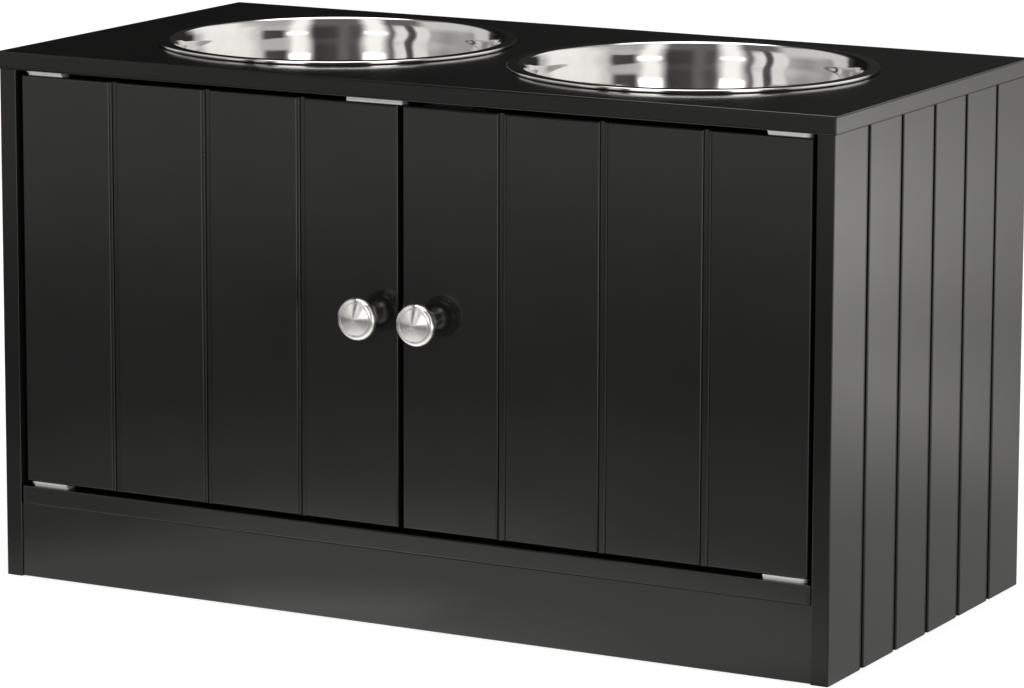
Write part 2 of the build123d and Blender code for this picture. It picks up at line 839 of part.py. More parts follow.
for side, name in ((LEFT, "left"), (RIGHT, "right")):
    knob_seat = (side * knob_x, door_front, knob_height)
    with BuildPart() as knob:
        with BuildSketch(Plane(origin=knob_seat, x_dir=(1, 0, 0), z_dir=DOWN)):
            add(knob_section.sketch)
        revolve(axis=Axis(knob_seat, FRONT))
    save(knob, f"{name}_knob")
    save(group(knob_screw.part, [knob_screw_place(side)]), f"{name}_knob_screw")

# ---------------------------------------------------------------- bowls

with BuildSketch() as bowl_section:
    with BuildLine():
        FilletPolyline(
            (0, -bowl_depth),
            (bowl_wall_foot_radius, -bowl_depth),
            (bowl_wall_top_radius, bowl_wall_top),
            (bowl_level_radius, bowl_rim_height),
            (bowl_rim_radius, bowl_rim_height),
            (bowl_rim_radius, bowl_rim_gap),
            radius=(bowl_floor_radius, bowl_flare_radius, bowl_flare_radius, bowl_rim_roll),
        )
        offset(amount=bowl_sheet, side=Side.RIGHT)
    make_face()

for side, name in ((LEFT, "left"), (RIGHT, "right")):
    bowl_seat = (side * bowl_x, bowl_y, feeder_height)
    with BuildPart() as bowl:
        with BuildSketch(Plane(origin=bowl_seat, x_dir=(1, 0, 0), z_dir=FRONT)):
            add(bowl_section.sketch)
        revolve(axis=Axis(bowl_seat, UP))
    save(bowl, f"{name}_bowl")
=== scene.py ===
from collections import namedtuple
from math import cos, pi, radians, sin, tan

import bpy
import bmesh
from mathutils import Matrix, Vector


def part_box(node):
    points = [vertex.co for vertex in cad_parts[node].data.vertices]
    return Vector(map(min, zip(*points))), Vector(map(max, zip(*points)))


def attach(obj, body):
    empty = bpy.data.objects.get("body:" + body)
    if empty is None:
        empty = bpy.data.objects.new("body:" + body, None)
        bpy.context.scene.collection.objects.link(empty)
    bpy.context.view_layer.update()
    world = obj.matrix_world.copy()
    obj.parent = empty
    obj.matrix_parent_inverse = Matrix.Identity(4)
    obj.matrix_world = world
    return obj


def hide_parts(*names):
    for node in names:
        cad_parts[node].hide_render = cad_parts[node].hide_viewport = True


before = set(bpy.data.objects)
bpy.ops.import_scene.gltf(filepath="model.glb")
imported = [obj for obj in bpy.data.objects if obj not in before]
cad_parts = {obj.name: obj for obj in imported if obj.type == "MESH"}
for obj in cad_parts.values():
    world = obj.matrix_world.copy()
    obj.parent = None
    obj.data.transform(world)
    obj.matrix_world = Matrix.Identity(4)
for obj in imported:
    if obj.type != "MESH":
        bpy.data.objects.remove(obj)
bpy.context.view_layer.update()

# An elevated dog feeder. Lengths are in metres, angles in degrees unless radians() is written.
# Azimuth 0 is in front of the doors and grows towards the right side panel.

# ---------------------------------------------------------------- sizes from the frame

X, Y, Z = range(3)


def lowest(node, axis):
    """A CAD node's lowest place on an axis, to a tenth of a millimetre, which evens out facets."""
    return round(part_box(node)[0][axis], 4)


def highest(node, axis):
    return round(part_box(node)[1][axis], 4)


def middle(node, axis):
    return round((lowest(node, axis) + highest(node, axis)) / 2, 5)


def extent(node, axis):
    return round(highest(node, axis) - lowest(node, axis), 5)


TOP_Z = highest("top_board", Z)
BOWL_RIM_RADIUS = extent("right_bowl", X) / 2
BOWL_RIM_HEIGHT = round(highest("right_bowl", Z) - TOP_Z, 5)
KNOB_RADIUS = extent("right_knob", X) / 2
KNOB_LENGTH = extent("right_knob", Y)

# ---------------------------------------------------------------- sizes of the finer pieces

# Bowls: heights are measured from the top board's upper face
BOWL_DEPTH = 0.062
BOWL_SHEET = 0.0005                 # thickness of the steel, as its edge shows it
BOWL_RIM_GAP = 0.0002               # under the rolled edge
BOWL_RIM_ROLL = 0.0011
BOWL_RIM_CURL = 0.0012              # the rolled edge's return under the rim
BOWL_CURL_RADIUS = 0.0006
BOWL_FLAT_WIDTH = 0.0086            # level band of the rim
BOWL_FLARE_WIDTH = 0.0019           # sloped band between the level band and the wall
BOWL_FLARE_DROP = 0.0043
BOWL_FLARE_RADIUS = 0.003
BOWL_WALL_SLOPE = radians(12)
BOWL_FLOOR_RADIUS = 0.024           # curve between wall and floor
BOWL_WALL_STEPS = 64
BOWL_CURVE_STEP = radians(4.5)
BOWL_SEGMENTS = 320
# The drawn wall's shallow waves, from the flare down: their heights, and how many degrees
# the wall leans past its own slope where they meet
WAVE_RUNS = (0.001, 0.005, 0.0057, 0.0103, 0.019)
WAVE_LEANS = (11.8, 5.0, -4.0, 4.0, -4.5, 0.0)
WAVE_SUM_STEPS = 80

# Knobs: heights are measured out of the door's face
KNOB_FACE_RISE = 0.0025             # the face's shallow cone
KNOB_RING_RADIUS = 0.0102           # middle of the thin turned line on the face
KNOB_RING_WIDTH = 0.0005
KNOB_RING_DEPTH = 0.0005
KNOB_RING_ARRIS = 0.00012
KNOB_RING_CREASE = 0.0001
KNOB_BAND_HEIGHT = 0.0043           # the round outer band
KNOB_BAND_CURVE = 0.0028
KNOB_STEP_RADIUS = 0.0120           # turned step behind the band
KNOB_STEP_HEIGHT = 0.0015
KNOB_CUP_RADIUS = 0.0102            # hollowed cup behind the step
KNOB_CUP_HEIGHT = 0.0020
KNOB_CUP_CURVE = 0.0005
KNOB_ARRIS = 0.0004
KNOB_CREASE = 0.00015
KNOB_NECK_RADIUS = 0.0048
KNOB_NECK_FOOT = 0.0060
KNOB_NECK_TOP_CURVE = 0.0050        # into the cup
KNOB_NECK_FOOT_CURVE = 0.0040       # into the foot
KNOB_FOOT_RADIUS = 0.0060
KNOB_FOOT_HEIGHT = 0.0030
KNOB_FOOT_CURVE = 0.0010
KNOB_FOOT_ARRIS = 0.0003
KNOB_BORE_RADIUS = 0.0022           # for its screw
KNOB_BORE_DEPTH = 0.011
KNOB_CURVE_STEP = radians(8)
KNOB_SEGMENTS = 160

SHARP_EDGE = radians(35)            # an edge that turns by more than this stays crisp
SAME_PLACE = 1e-7                   # closer together than this is one place
MITRE_LIMIT = 0.5                   # a corner of a line that is moved aside reaches no farther
MM = 0.001

# ---------------------------------------------------------------- mesh helpers


def rounded(profile, step):
    """The polyline through a profile of (radius, height, rounding) corners, rounded in steps."""
    corners = [Vector(corner[:2]) for corner in profile]
    roundings = [corner[2] for corner in profile]
    points = [corners[0]]
    for before, corner, after, radius in zip(corners, corners[1:], corners[2:], roundings[1:]):
        if radius <= 0:
            points.append(corner)
            continue
        one = (before - corner).normalized()
        two = (after - corner).normalized()
        half = one.angle(two) / 2
        reach = radius / tan(half)
        centre = corner + (one + two).normalized() * (radius / sin(half))
        first = corner + one * reach - centre
        last = corner + two * reach - centre
        turn = pi - 2 * half
        steps = max(2, int(turn / step + 0.5))
        anticlockwise = first[0] * last[1] - first[1] * last[0] > 0
        for i in range(steps + 1):
            angle = turn * i / steps * (1 if anticlockwise else -1)
            points.append(centre + Matrix.Rotation(angle, 2) @ first)
    points.append(corners[-1])
    return points


def sidestep(points, amount):
    """The same line moved to its right-hand side by amount."""
    moved = []
    for i, point in enumerate(points):
        ahead = points[min(i + 1, len(points) - 1)] - point
        behind = point - points[max(i - 1, 0)]
        ahead = (ahead if ahead.length > SAME_PLACE else behind).normalized()
        behind = (behind if behind.length > SAME_PLACE else ahead).normalized()
        run = (ahead + behind).normalized()
        stretch = max(MITRE_LIMIT, run.dot(ahead))
        moved.append(point + Vector((run[1], -run[0])) * (amount / stretch))
    return moved


def show(name, data):
    """A new object of a mesh, light or camera, linked into the scene."""
    piece = bpy.data.objects.new(name, data)
    bpy.context.scene.collection.objects.link(piece)
    return piece


def turned_piece(name, section, segments, place):
    """A solid of revolution. section is a closed loop of (radius, height) points."""
    mesh = bpy.data.meshes.new(name)
    shape = bmesh.new()
    turns = [2 * pi * i / segments for i in range(segments)]
    rings = []
    for radius, height in section:
        if radius < SAME_PLACE:
            rings.append([shape.verts.new((0, 0, height))])
        else:
            rings.append([
                shape.verts.new((radius * cos(turn), radius * sin(turn), height))
                for turn in turns
            ])
    for one, two in zip(rings, rings[1:] + rings[:1]):
        for i in range(segments):
            j = (i + 1) % segments
            ring_corners = ((one, i), (one, j), (two, j), (two, i))
            corners = [ring[at % len(ring)] for ring, at in ring_corners]
            corners = [corner for k, corner in enumerate(corners) if corner not in corners[:k]]
            if len(corners) > 2:
                shape.faces.new(corners)
    bmesh.ops.recalc_face_normals(shape, faces=shape.faces)
    shape.to_mesh(mesh)
    shape.free()
    mesh.shade_smooth()
    mesh.set_sharp_from_angle(angle=SHARP_EDGE)
    piece = show(name, mesh)
    piece.matrix_world = place
    return piece


# ---------------------------------------------------------------- material helpers


class Look:
    """One material's node graph, around its Principled shader."""

    def __init__(self, name):
        self.material = bpy.data.materials.new(name)
        self.material.use_nodes = True
        self.tree = self.material.node_tree
        self.shader = self.tree.nodes["Principled BSDF"]
        self.place = self.add("ShaderNodeTexCoord").outputs["Object"]

    def add(self, kind, inputs=None, **settings):
        node = self.tree.nodes.new(kind)
        for key, value in settings.items():
            setattr(node, key, value)
        for key, value in (inputs or {}).items():
            self.feed(node, key, value)
        return node

    def feed(self, node, key, value):
        """Links a socket to an input, or sets the input to a constant."""
        socket = node.inputs[key]
        if isinstance(value, bpy.types.NodeSocket):
            self.tree.links.new(value, socket)
        else:
            socket.default_value = value

    def set(self, **values):
        """Feeds the shader's own inputs; an underscore stands for a space in their names."""
        for key, value in values.items():
            self.feed(self.shader, key.replace("_", " "), value)

    def math(self, operation, *values):
        node = self.add("ShaderNodeMath", operation=operation)
        for i, value in enumerate(values):
            self.feed(node, i, value)
        return node.outputs[0]

    def split(self, vector, axis):
        """One part of a vector."""
        return self.add("ShaderNodeSeparateXYZ", {"Vector": vector}).outputs[axis]

    def along(self, axis):
        """The place along one of the object's axes."""
        return self.split(self.place, axis)

    def facing(self, axis):
        """How squarely the surface faces along an axis, from -1 to 1."""
        return self.split(self.add("ShaderNodeNewGeometry").outputs["Normal"], axis)

    def stretched(self, x, y, z, offset=(0.0, 0.0, 0.0)):
        """The place with each axis multiplied, then moved by offset."""
        node = self.add("ShaderNodeMapping", {
            "Vector": self.place, "Location": offset, "Scale": (x, y, z),
        })
        return node.outputs[0]

    def around_axis(self, seed):
        """A place that is the same all the way round the object's Z axis, for turned marks."""
        one = self.math("POWER", self.along(X), 2.0)
        two = self.math("POWER", self.along(Y), 2.0)
        node = self.add("ShaderNodeCombineXYZ", {
            "X": self.math("SQRT", self.math("ADD", one, two)),
            "Y": self.along(Z),
            "Z": seed * 0.1,
        })
        return node.outputs[0]

    def noise(self, scale, detail=2.0, rough=0.5, at=None, distortion=0.0):
        """Noise with about scale spots to each unit of at, which is a metre unless stretched."""
        node = self.add("ShaderNodeTexNoise", {
            "Vector": at or self.place, "Scale": scale, "Detail": detail,
            "Roughness": rough, "Distortion": distortion,
        })
        return node.outputs[0]

    def span(self, value, low, high, source=(0.3, 0.7)):
        """The value spread from the source range to low..high, and held there."""
        node = self.add("ShaderNodeMapRange", {
            "Value": value, "From Min": source[0], "From Max": source[1],
            "To Min": low, "To Max": high,
        })
        return node.outputs[0]

    def colours(self, value, *stops):
        """A ramp; each stop is (position, red, green, blue)."""
        node = self.add("ShaderNodeValToRGB", {"Fac": value})
        elements = node.color_ramp.elements
        while len(elements) < len(stops):
            elements.new(0.5)
        for element, (position, *colour) in zip(elements, stops):
            element.position = position
            element.color = (*colour, 1)
        return node.outputs[0]

    def bump(self, *layers):
        """Stacked bumps; each layer is (height, distance)."""
        normal = None
        for height, distance in layers:
            inputs = {"Height": height, "Distance": distance, "Strength": 1.0}
            if normal is not None:
                inputs["Normal"] = normal
            normal = self.add("ShaderNodeBump", inputs).outputs[0]
        self.feed(self.shader, "Normal", normal)


# ---------------------------------------------------------------- materials


def lacquer(name, seed, tone=1.0, rough=(0.11, 0.16), edge=0.5):
    """Semi-gloss black sprayed lacquer over fine fibreboard. edge is the specular level of the
    sawn front edges, which drink more of it."""
    look = Look(name)
    here = look.stretched(1, 1, 1, offset=(seed * 0.37, seed * 0.71, seed * 0.13))
    broad = look.noise(14, detail=3, rough=0.55, at=here)
    spray = look.noise(420, detail=2.5, at=here)
    fine = look.noise(1900, detail=2, rough=0.6, at=here)
    blotch = look.noise(26, detail=4, rough=0.6, at=here)
    mottle = look.math("ADD", look.math("MULTIPLY", broad, 0.8), look.math("MULTIPLY", fine, 0.2))
    low, high = 0.0085 * tone, 0.0115 * tone
    base = look.colours(
        mottle,
        (0.35, low * 0.97, low, low * 0.93),
        (0.65, high * 0.97, high, high * 0.94),
    )
    gloss = look.math("ADD", look.span(blotch, *rough), look.span(fine, -0.010, 0.010))
    specular = look.span(look.facing(Y), edge, 0.5, source=(-0.9, -0.6))
    look.set(Base_Color=base, Roughness=gloss, Specular_IOR_Level=specular)
    look.bump((broad, 0.08 * MM), (spray, 0.012 * MM), (fine, 0.002 * MM))
    return look.material


def hardboard(name):
    """The thin back panel: dull black over pressed fibre, with a woven print in its rear face."""
    look = Look(name)
    weave = 1.6 * MM
    wave_x = look.math("SINE", look.math("MULTIPLY", look.along(X), 2 * pi / weave))
    wave_z = look.math("SINE", look.math("MULTIPLY", look.along(Z), 2 * pi / weave))
    screen = look.math("MULTIPLY", wave_x, wave_z)
    fibre = look.noise(900, detail=5, rough=0.65)
    cloud = look.noise(18, detail=4, rough=0.6)
    base = look.colours(cloud, (0.3, 0.010, 0.0098, 0.0095), (0.7, 0.019, 0.018, 0.017))
    look.set(Base_Color=base, Roughness=look.span(fibre, 0.62, 0.78), Specular_IOR_Level=0.35)
    look.bump((screen, 0.06 * MM), (fibre, 0.08 * MM))
    return look.material


def polished_steel(name, seed):
    """Mirror-polished stainless sheet: faint rings from spinning and polishing, and shallow
    dents from drawing, deeper in the wall than on the level rim and floor."""
    look = Look(name)
    around = look.around_axis(seed)
    rings = look.noise(1400, detail=3, rough=0.6, at=around)
    swell = look.noise(70, at=around)
    smear = look.noise(45, detail=4, rough=0.6)
    dents = look.math(
        "MULTIPLY",
        look.noise(16, at=look.stretched(1, 1, 1.6, offset=(seed, 0, 0))),
        look.span(look.facing(Z), 1.0, 0.3, source=(0.4, 0.95)),
    )
    base = look.colours(smear, (0.3, 0.70, 0.69, 0.675), (0.7, 0.76, 0.75, 0.735))
    rough = look.math("ADD", look.span(rings, 0.025, 0.05), look.span(smear, 0.0, 0.02))
    look.set(Base_Color=base, Metallic=1.0, Roughness=rough)
    look.bump((dents, 0.8 * MM), (swell, 0.05 * MM), (rings, 0.001 * MM))
    return look.material


def turned_metal(name, seed):
    """Knob metal, turned about the object's Z axis: fine tool marks that fan the light."""
    look = Look(name)
    around = look.around_axis(seed)
    marks = look.noise(4200, detail=3, rough=0.7, at=around)
    bands = look.noise(700, at=around)
    base = look.colours(bands, (0.3, 0.88, 0.87, 0.85), (0.7, 0.96, 0.95, 0.93))
    tangent = look.add("ShaderNodeTangent", direction_type="RADIAL", axis="Z").outputs[0]
    look.set(
        Base_Color=base, Metallic=1.0, Roughness=look.span(marks, 0.16, 0.22),
        Anisotropic=1.0, Anisotropic_Rotation=0.25, Tangent=tangent,
    )
    look.bump((marks, 0.0015 * MM))
    return look.material


def plated(name, low, high, rough, metallic=1.0, along=X):
    """Bright plated steel: fine rolling marks along one axis, between two tones of grey."""
    look = Look(name)
    scales = [1500, 1500, 1500]
    scales[along] = 40
    lines = look.noise(1.0, detail=4, rough=0.6, at=look.stretched(*scales))
    cloud = look.noise(120, detail=3, rough=0.6)
    base = look.colours(cloud, (0.3, low, low, low * 0.985), (0.7, high, high, high * 0.99))
    look.set(Base_Color=base, Metallic=metallic, Roughness=look.span(lines, *rough))
    look.bump((lines, 0.004 * MM))
    return look.material


def zinc_cast(name):
    """Die-cast cam: grey, a little grainy, with parting shine."""
    look = Look(name)
    grain = look.noise(1600, detail=4, rough=0.7)
    cloud = look.noise(260, detail=3, rough=0.6)
    base = look.colours(cloud, (0.3, 0.40, 0.40, 0.41), (0.7, 0.54, 0.54, 0.55))
    look.set(Base_Color=base, Metallic=1.0, Roughness=look.span(grain, 0.36, 0.52))
    look.bump((grain, 0.01 * MM))
    return look.material


def beech(name):
    """Fluted beech dowel."""
    look = Look(name)
    along_grain = look.stretched(700, 700, 60)
    grain = look.noise(1.0, detail=5, rough=0.6, at=along_grain, distortion=0.4)
    flecks = look.noise(1.0, at=look.stretched(1500, 1500, 260))
    base = look.colours(
        grain,
        (0.3, 0.42, 0.27, 0.14),
        (0.55, 0.60, 0.42, 0.24),
        (0.75, 0.68, 0.50, 0.31),
    )
    look.set(Base_Color=base, Roughness=look.span(flecks, 0.55, 0.72), Specular_IOR_Level=0.4)
    look.bump((grain, 0.04 * MM), (flecks, 0.02 * MM))
    return look.material


def moulded(name):
    """Black moulded plastic with a fine spark texture."""
    look = Look(name)
    spark = look.noise(2200, detail=3, rough=0.7)
    cloud = look.noise(90, detail=3)
    base = look.colours(cloud, (0.3, 0.018, 0.018, 0.019), (0.7, 0.026, 0.026, 0.027))
    look.set(Base_Color=base, Roughness=look.span(spark, 0.42, 0.56))
    look.bump((spark, 0.012 * MM))
    return look.material


def ferrite(name):
    """Sintered magnet block."""
    look = Look(name)
    grit = look.noise(2600, detail=5, rough=0.7)
    base = look.colours(grit, (0.3, 0.045, 0.045, 0.048), (0.7, 0.085, 0.085, 0.09))
    look.set(Base_Color=base, Metallic=0.3, Roughness=look.span(grit, 0.5, 0.7))
    look.bump((grit, 0.01 * MM))
    return look.material


# By the record's material slot
slot_looks = {
    "black_board": lacquer("black_lacquer", 1),
    "black_back": hardboard("black_hardboard"),
    "bowl_steel": polished_steel("polished_steel", 2),
    "knob_metal": turned_metal("turned_knob_metal", 3),
    "hinge_steel": plated("bright_zinc", 0.93, 0.98, (0.30, 0.40), metallic=0.2),
    "catch_steel": plated("catch_zinc", 0.84, 0.95, (0.30, 0.42), metallic=0.3),
    "screw_steel": plated("zinc_plate", 0.56, 0.68, (0.26, 0.40), along=Z),
    "cam_zinc": zinc_cast("cast_zinc"),
    "dowel_wood": beech("beech"),
    "catch_plastic": moulded("black_plastic"),
    "magnet": ferrite("ferrite"),
}
# Boards that have a lacquer of their own, by CAD node
board_looks = {
    "top_board": lacquer("top_lacquer", 2, tone=0.85, rough=(0.10, 0.14), edge=0.30),
    "left_door": lacquer("left_door_lacquer", 3),
    "right_door": lacquer("right_door_lacquer", 4),
    "left_side_panel": lacquer("left_side_lacquer", 5, edge=0.34),
    "right_side_panel": lacquer("right_side_lacquer", 6, edge=0.34),
    "front_plinth": lacquer("plinth_lacquer", 7),
    "bottom_shelf": lacquer("shelf_lacquer", 8),
}

for name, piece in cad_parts.items():
    for slot in piece.material_slots:
        slot_name = slot.material.name.split(".")[0]
        slot.material = board_looks.get(name) or slot_looks[slot_name]

# ---------------------------------------------------------------- bowls

wall_height = BOWL_DEPTH + BOWL_RIM_HEIGHT - BOWL_FLARE_DROP
flare_top_radius = BOWL_RIM_RADIUS - BOWL_FLAT_WIDTH
wall_top_radius = flare_top_radius - BOWL_FLARE_WIDTH
wall_foot_radius = wall_top_radius - wall_height * tan(BOWL_WALL_SLOPE)
wall_top = (wall_top_radius, BOWL_RIM_HEIGHT - BOWL_FLARE_DROP)

bowl_inside = rounded(
    [
        (0, -BOWL_DEPTH, 0),
        (wall_foot_radius, -BOWL_DEPTH, BOWL_FLOOR_RADIUS),
        (*wall_top, 0),
        (flare_top_radius, BOWL_RIM_HEIGHT, BOWL_FLARE_RADIUS),
        (BOWL_RIM_RADIUS, BOWL_RIM_HEIGHT, BOWL_RIM_ROLL),
        (BOWL_RIM_RADIUS, BOWL_RIM_GAP, BOWL_CURL_RADIUS),
        (BOWL_RIM_RADIUS - BOWL_RIM_CURL, BOWL_RIM_GAP, 0),
    ],
    BOWL_CURVE_STEP,
)


def lean_at(depth):
    """How many degrees the wall leans past its own slope, at a depth below the flare."""
    for run, start, end in zip(WAVE_RUNS, WAVE_LEANS, WAVE_LEANS[1:]):
        if depth < run:
            return start + (end - start) * (0.5 - 0.5 * cos(pi * depth / run))
        depth -= run
    return 0.0


def lean_sum(depth):
    """How far the lean has moved the wall, from the flare down to a depth."""
    moved = 0.0
    for i in range(WAVE_SUM_STEPS):
        lean = lean_at(depth * (i + 0.5) / WAVE_SUM_STEPS)
        moved += radians(lean) * depth / WAVE_SUM_STEPS
    return moved


def drawn_wave(depth):
    """How far the drawn sheet's shallow waves move the wall, at a depth below the flare. They
    start and end on the straight wall."""
    whole = sum(WAVE_RUNS)
    if not 0 < depth < whole:
        return 0.0
    return lean_sum(depth) - lean_sum(whole) * depth / whole


# The straight wall between the floor's curve and the flare gets the waves
top_of_wall = bowl_inside.index(Vector(wall_top))
wall_low = bowl_inside[top_of_wall - 1]
wall_high = bowl_inside[top_of_wall]
wall_points = []
for i in range(1, BOWL_WALL_STEPS):
    point = wall_low.lerp(wall_high, i / BOWL_WALL_STEPS)
    point[0] -= drawn_wave(wall_high[1] - point[1])
    wall_points.append(point)
bowl_inside[top_of_wall:top_of_wall] = wall_points
bowl_outside = sidestep(bowl_inside, BOWL_SHEET)
bowl_outside[0] = Vector((0, bowl_outside[0][1]))
bowl_section = bowl_inside + bowl_outside[::-1]

for name in ("left", "right"):
    bowl_seat = (middle(f"{name}_bowl", X), middle(f"{name}_bowl", Y), TOP_Z)
    bowl = turned_piece(
        f"{name}_feeding_bowl",
        bowl_section,
        BOWL_SEGMENTS,
        Matrix.Translation(bowl_seat),
    )
    bowl.data.materials.append(slot_looks["bowl_steel"])
    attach(bowl, f"{name}_bowl")
    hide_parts(f"{name}_bowl")

# ---------------------------------------------------------------- knobs

ring_in = KNOB_RING_RADIUS - KNOB_RING_WIDTH / 2
ring_out = KNOB_RING_RADIUS + KNOB_RING_WIDTH / 2
face_edge = KNOB_LENGTH - KNOB_FACE_RISE
ring_floor = face_edge - KNOB_RING_DEPTH
band_foot = face_edge - KNOB_BAND_HEIGHT
step_foot = band_foot - KNOB_STEP_HEIGHT
cup_foot = step_foot - KNOB_CUP_HEIGHT

knob_section = rounded(
    [
        (0, KNOB_BORE_DEPTH, 0),
        (0, KNOB_LENGTH, 0),
        (ring_in, face_edge, KNOB_RING_ARRIS),
        (ring_in, ring_floor, KNOB_RING_CREASE),
        (ring_out, ring_floor, KNOB_RING_CREASE),
        (ring_out, face_edge, KNOB_RING_ARRIS),
        (KNOB_RADIUS, face_edge, KNOB_BAND_CURVE),
        (KNOB_RADIUS, band_foot, KNOB_ARRIS),
        (KNOB_STEP_RADIUS, band_foot, KNOB_CREASE),
        (KNOB_STEP_RADIUS, step_foot, KNOB_ARRIS),
        (KNOB_CUP_RADIUS, step_foot, KNOB_CREASE),
        (KNOB_CUP_RADIUS, cup_foot, KNOB_CUP_CURVE),
        (KNOB_NECK_RADIUS, cup_foot, KNOB_NECK_TOP_CURVE),
        (KNOB_NECK_RADIUS, KNOB_NECK_FOOT, KNOB_NECK_FOOT_CURVE),
        (KNOB_FOOT_RADIUS, KNOB_FOOT_HEIGHT, KNOB_FOOT_CURVE),
        (KNOB_FOOT_RADIUS, 0, KNOB_FOOT_ARRIS),
        (KNOB_BORE_RADIUS, 0, 0),
        (KNOB_BORE_RADIUS, KNOB_BORE_DEPTH, 0),
    ],
    KNOB_CURVE_STEP,
)
out_of_door = Matrix.Rotation(radians(90), 4, "X")

for name in ("left", "right"):
    node = f"{name}_knob"
    knob_seat = (middle(node, X), highest(node, Y), middle(node, Z))
    knob = turned_piece(
        f"{name}_turned_knob",
        knob_section,
        KNOB_SEGMENTS,
        Matrix.Translation(knob_seat) @ out_of_door,
    )
    knob.data.materials.append(slot_looks["knob_metal"])
    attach(knob, f"{name}_door")
    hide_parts(f"{name}_knob")

# ---------------------------------------------------------------- what the object mirrors

# The soft lights: azimuths, elevations, soft edge and level. The first two stand on the floor.
Softbox = namedtuple("Softbox", "left right bottom top soft level")
SOFTBOXES = (
    Softbox(-9, 8, -6, 16, 2.2, 3.2),           # front
    Softbox(51, 67, -6, 16, 2.2, 3.2),          # right
    Softbox(112, 170, 22, 44, 6.0, 1.15),       # back right, high
    Softbox(-104, -42, 22, 52, 6.0, 0.75),      # left, high
)
# Above and below the two that stand on the floor: a haze, and a lit strip of floor
HAZE_LEVEL = 1.3
HAZE_SPREAD = 3
HAZE_FADE = (40, 95)                            # elevations
STRIP_LEVEL = 1.9
STRIP_SPREAD = 1
STRIP_START = (2.1, 2.9)                        # distances

# The room's wall between them: (azimuth, level)
ROOM = (
    (-180, 0.03), (-161, 0.03), (-154, 0.018), (-147, 0.010), (-122, 0.010), (-112, 0.05),
    (-105, 0.70), (-93, 0.75), (-86, 0.40), (-72, 0.45), (-60, 0.38), (-46, 0.50), (-42, 0.95),
    (-33, 0.95), (-30.5, 0.09), (-26, 0.09), (-23.5, 1.0), (-18, 0.95), (-14, 0.16), (-9, 0.20),
    (8, 0.16), (16, 0.10), (24, 0.16), (32, 0.07), (44, 0.06), (51, 0.12), (67, 0.12),
    (72, 0.07), (84, 0.09), (92, 0.80), (104, 1.08), (140, 1.12), (153, 0.60), (164, 0.03),
    (180, 0.03),
)
# Higher up the wall takes other levels: the level, the elevations where it comes in, and the
# azimuths' two ends and soft edge
UPPER_ROOM = (
    (0.6, (20, 24), (68, 92, 3)),
    (0.16, (24, 40), (-125, 68, 6)),
    (0.5, (30, 45), (68, 150, 6)),
)
CEILING_LEVEL = 0.30
CEILING_START = (56, 66)                        # elevations
CEILING_LAMP = 3.5
CEILING_LAMP_START = (62, 68)

# The floor as the object mirrors it, (distance, level): in front, and past the right side
FRONT_FLOOR = (
    (0.0, 1.2), (0.18, 1.7), (0.26, 0.98), (0.41, 0.96), (0.49, 0.46), (0.62, 0.42),
    (0.90, 0.21), (1.3, 0.25), (1.7, 0.44), (2.1, 0.68), (4.0, 0.70),
)
RIGHT_FLOOR = ((0.0, 0.45), (0.45, 0.57), (1.1, 1.40), (1.6, 2.1), (1.9, 2.3), (4.0, 2.2))
RIGHT_FLOOR_AZIMUTHS = (62, 151, 11)            # two ends and soft edge
# To either side of the front, the floor's levels lie this much nearer to the object
ASIDE = 0.05
ASIDE_RIGHT = (-12, 6)                          # azimuths where that comes in
ASIDE_LEFT = (34, 50)                           # the same, counted to the left
# Its other shades, each a share taken off, and a light added off the right front corner. Three
# numbers are a band's two ends and its soft edge.
BEHIND_SHADE = 0.5
BEHIND_AZIMUTHS = (160, 360, 12)
LEFT_SHADE = 0.6
LEFT_AZIMUTHS = (-130, -52, 8)
LEFT_START = (0.6, 0.9)                         # distances
CORNER_LIGHT = 0.8
CORNER_AZIMUTHS = (34, 66, 6)
CORNER_DISTANCES = (0.6, 2.0, 0.2)
BACK_SHADE = 0.35
BACK_START = (137, 146)                         # azimuths
BACK_TURN = 6                                   # how far its edge turns away farther out
BACK_TURN_START = (1.1, 1.9)                    # distances

SURROUND_REACH = 4.0
SURROUND_SEGMENTS = 240
SURROUND_FLOOR_RINGS = 28
SURROUND_CROWDING = 1.6                         # its floor rings lie closer near the object
SURROUND_ROOM_RINGS = 59
SURROUND_RING_STEP = 1.5                        # degrees of elevation
SURROUND_DROP = 0.0001                          # below the object's feet
SURROUND_TINT = (1.0, 0.985, 0.96)              # warm white


def ease(value, low, high):
    """0 below low, 1 above high, and smooth between."""
    part = min(1.0, max(0.0, (value - low) / (high - low)))
    return part * part * (3 - 2 * part)


def within(value, low, high, soft):
    """1 from low to high and 0 outside, with edges of width 2 * soft."""
    return ease(value, low - soft, low + soft) * (1 - ease(value, high - soft, high + soft))


def between(value, stops):
    """Smooth steps from one (place, level) stop to the next."""
    for (low, one), (high, two) in zip(stops, stops[1:]):
        if value <= high:
            return one + (two - one) * ease(value, low, high)
    return stops[-1][1]


def room_level(azimuth, elevation):
    """How bright the wall or ceiling is in a direction."""
    level = between(azimuth, ROOM)
    for upper, start, azimuths in UPPER_ROOM:
        level += (upper - level) * ease(elevation, *start) * within(azimuth, *azimuths)
    for box in SOFTBOXES:
        if box.bottom < 0:
            haze = within(azimuth, box.left, box.right, box.soft + HAZE_SPREAD)
            level += (HAZE_LEVEL - level) * haze * (1 - ease(elevation, *HAZE_FADE))
        across = within(azimuth, box.left, box.right, box.soft)
        level += (box.level - level) * across * within(elevation, box.bottom, box.top, box.soft)
    ceiling = CEILING_LEVEL + CEILING_LAMP * ease(elevation, *CEILING_LAMP_START)
    return level + (ceiling - level) * ease(elevation, *CEILING_START)


